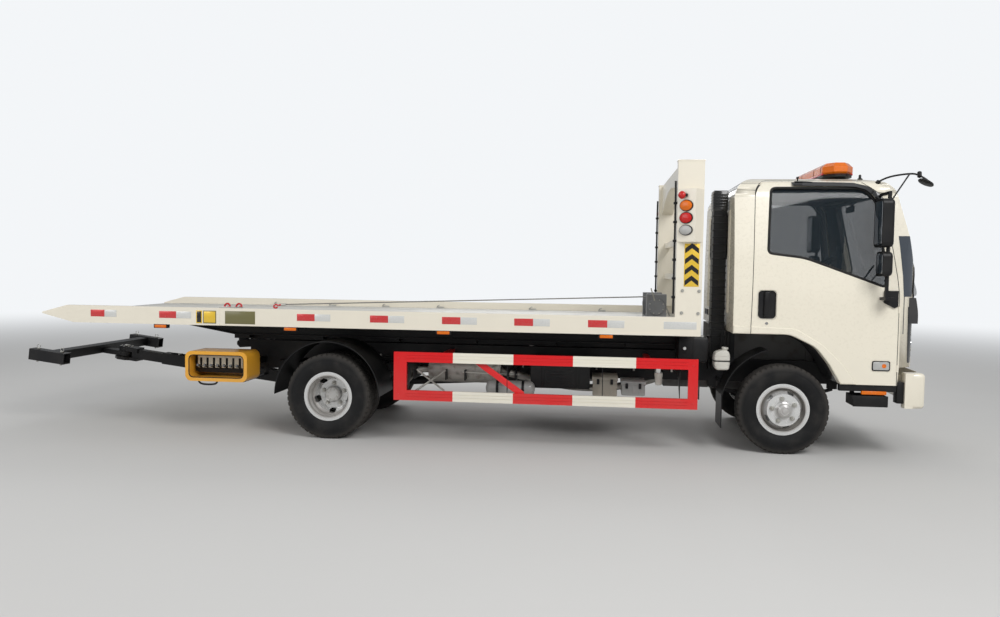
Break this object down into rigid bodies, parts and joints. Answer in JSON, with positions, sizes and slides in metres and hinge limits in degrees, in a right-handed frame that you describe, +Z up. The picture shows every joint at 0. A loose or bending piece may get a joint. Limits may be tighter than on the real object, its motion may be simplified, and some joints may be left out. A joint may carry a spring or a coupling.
{
  "type": "flatbed tow truck",
  "caption": "Cab-over recovery truck with a tilting, sliding flat bed, a mast with a winch at its front, and a wheel lift at its tail.",
  "frame": {"origin": "middle of the truck's box, on the ground", "axes": "+X forward, +Y to the truck's left, +Z up"},
  "size_m": [8.505, 2.5, 2.64],
  "materials": {
    "chassis_black": "satin black paint",
    "cab_white": "gloss warm white paint",
    "bed_cream": "gloss cream paint",
    "deck_grey": "worn grey deck paint",
    "tyre_black": "matt rubber",
    "wheel_grey": "satin silver paint",
    "rod_chrome": "hard chrome",
    "clear_glass": "clear tinted glass",
    "black_plastic": "grained black plastic",
    "lamp_clear": "clear lens over dark housing",
    "lamp_red": "red lens",
    "lamp_amber": "amber lens",
    "seat_cloth": "dark woven cloth",
    "guard_red": "gloss red and white stripes",
    "box_yellow": "gloss yellow paint",
    "cast_metal": "rough casting",
    "tank_metal": "brushed sheet",
    "winch_grey": "painted casting",
    "rope_steel": "stranded wire"
  },
  "bodies": {
    "chassis": {"chassis_frame": "chassis_black", "subframe": "chassis_black", "cylinder_brackets": "chassis_black", "rear_axle": "chassis_black", "propshaft": "chassis_black", "front_axle": "chassis_black", "engine": "cast_metal", "fuel_tank": "tank_metal", "battery_box": "tank_metal", "silencer": "cast_metal", "side_guards": "guard_red", "rear_fenders": "black_plastic", "front_mudguards": "black_plastic", "bumper": "cab_white", "control_box": "box_yellow", "control_levers": "black_plastic", "rear_lamps": "lamp_red", "washer_bottle": "black_plastic", "air_intake": "black_plastic"},
    "cab": {"cab_shell": "cab_white", "cab_glass": "clear_glass", "grille": "black_plastic", "headlamps": "lamp_clear", "seats": "seat_cloth", "dashboard": "black_plastic", "beacon": "lamp_amber"},
    "door_left": {"door_left": "cab_white", "door_glass_left": "clear_glass", "mirrors_left": "black_plastic"},
    "door_right": {"door_right": "cab_white", "door_glass_right": "clear_glass", "mirrors_right": "black_plastic"},
    "knuckle_left": {"knuckle_left": "chassis_black"},
    "knuckle_right": {"knuckle_right": "chassis_black"},
    "tie_rod": {"tie_rod": "chassis_black"},
    "front_wheel_left": {"front_wheel_left": "wheel_grey", "front_tyre_left": "tyre_black"},
    "front_wheel_right": {"front_wheel_right": "wheel_grey", "front_tyre_right": "tyre_black"},
    "rear_wheels_left": {"rear_wheels_left": "wheel_grey", "rear_tyres_left": "tyre_black"},
    "rear_wheels_right": {"rear_wheels_right": "wheel_grey", "rear_tyres_right": "tyre_black"},
    "tilt_frame": {"tilt_frame": "chassis_black", "slide_barrel": "chassis_black", "lift_brackets": "chassis_black"},
    "bed": {"bed_deck": "deck_grey", "bed_rails": "bed_cream", "bed_runners": "chassis_black", "mast": "bed_cream", "winch": "winch_grey", "winch_rope": "rope_steel", "slide_rod": "rod_chrome"},
    "tilt_barrels": {"tilt_barrels": "chassis_black"},
    "tilt_rods": {"tilt_rods": "rod_chrome"},
    "lift_arm": {"lift_arm": "chassis_black"},
    "lift_boom": {"lift_boom": "chassis_black"},
    "lift_crossbar": {"lift_crossbar": "chassis_black"},
    "lift_barrel": {"lift_barrel": "chassis_black"},
    "lift_rod": {"lift_rod": "rod_chrome"}
  },
  "joints": [
    {"name": "steer_left", "type": "hinge", "parent": "chassis", "child": "knuckle_left", "pos_m": [3.0325, 0.69, 0.4025], "axis": [0, 0, 1], "range_deg": [-35, 35]},
    {"name": "steer_right", "type": "hinge", "parent": "chassis", "child": "knuckle_right", "pos_m": [3.0325, -0.69, 0.4025], "axis": [0, 0, 1], "range_deg": [-35, 35]},
    {"name": "tie_rod_pivot", "type": "hinge", "parent": "knuckle_left", "child": "tie_rod", "pos_m": [2.8525, 0.655, 0.3072], "axis": [0, 0, 1], "range_deg": [-35, 35]},
    {"name": "front_spin_left", "type": "hinge", "parent": "knuckle_left", "child": "front_wheel_left", "pos_m": [3.0325, 0.84, 0.4025], "axis": [0, 1, 0], "continuous": true},
    {"name": "front_spin_right", "type": "hinge", "parent": "knuckle_right", "child": "front_wheel_right", "pos_m": [3.0325, -0.84, 0.4025], "axis": [0, 1, 0], "continuous": true},
    {"name": "rear_spin_left", "type": "hinge", "parent": "chassis", "child": "rear_wheels_left", "pos_m": [-1.1425, 0.815, 0.4025], "axis": [0, 1, 0], "continuous": true},
    {"name": "rear_spin_right", "type": "hinge", "parent": "chassis", "child": "rear_wheels_right", "pos_m": [-1.1425, -0.815, 0.4025], "axis": [0, 1, 0], "continuous": true},
    {"name": "cab_tilt", "type": "hinge", "parent": "chassis", "child": "cab", "pos_m": [4.1325, 0, 0.65], "axis": [0, 1, 0], "range_deg": [0, 45]},
    {"name": "door_left_hinge", "type": "hinge", "parent": "cab", "child": "door_left", "pos_m": [3.9575, 1.02, 1.2], "axis": [0, 0, -1], "range_deg": [0, 70]},
    {"name": "door_right_hinge", "type": "hinge", "parent": "cab", "child": "door_right", "pos_m": [3.9575, -1.02, 1.2], "axis": [0, 0, 1], "range_deg": [0, 70]},
    {"name": "bed_tilt", "type": "hinge", "parent": "chassis", "child": "tilt_frame", "pos_m": [-2.2625, 0, 0.83], "axis": [0, -1, 0], "range_deg": [0, 12]},
    {"name": "bed_slide", "type": "slide", "parent": "tilt_frame", "child": "bed", "axis": [-1, 0, 0], "range_m": [0, 2.8]},
    {"name": "tilt_barrels_swing", "type": "hinge", "parent": "chassis", "child": "tilt_barrels", "pos_m": [-0.2425, 0, 0.64], "axis": [0, -1, 0], "range_deg": [0, 28.19]},
    {"name": "tilt_rods_stroke", "type": "slide", "parent": "tilt_barrels", "child": "tilt_rods", "axis": [0.9691, 0, 0.2467], "range_m": [0, 0.2381]},
    {"name": "lift_pivot", "type": "hinge", "parent": "tilt_frame", "child": "lift_arm", "pos_m": [-1.7025, 0, 0.4], "axis": [0, 1, 0], "range_deg": [-12, 0]},
    {"name": "lift_extend", "type": "slide", "parent": "lift_arm", "child": "lift_boom", "axis": [0.9925, 0, -0.1219], "range_m": [-1, 0]},
    {"name": "crossbar_swivel", "type": "hinge", "parent": "lift_boom", "child": "lift_crossbar", "pos_m": [-3.77692, 0, 0.65471], "axis": [0.1219, 0, 0.9925], "range_deg": [-30, 30]},
    {"name": "lift_barrel_swing", "type": "hinge", "parent": "tilt_frame", "child": "lift_barrel", "pos_m": [-1.5725, 0, 0.8], "axis": [0, 1, 0], "range_deg": [-8.91, 0]},
    {"name": "lift_rod_stroke", "type": "slide", "parent": "lift_barrel", "child": "lift_rod", "axis": [-0.9762, 0, -0.2167], "range_m": [0, 0.0723]}
  ],
  "couplings": [
    {"joint": "steer_right", "follows": "steer_left", "ratio": 1},
    {"joint": "tie_rod_pivot", "follows": "steer_left", "ratio": -1},
    {"joint": "tilt_barrels_swing", "follows": "bed_tilt", "ratio": 2.3474},
    {"joint": "tilt_rods_stroke", "follows": "bed_tilt", "m_per_rad": 1.1361},
    {"joint": "lift_barrel_swing", "follows": "lift_pivot", "ratio": 0.74058},
    {"joint": "lift_rod_stroke", "follows": "lift_pivot", "m_per_rad": -0.34417}
  ]
}
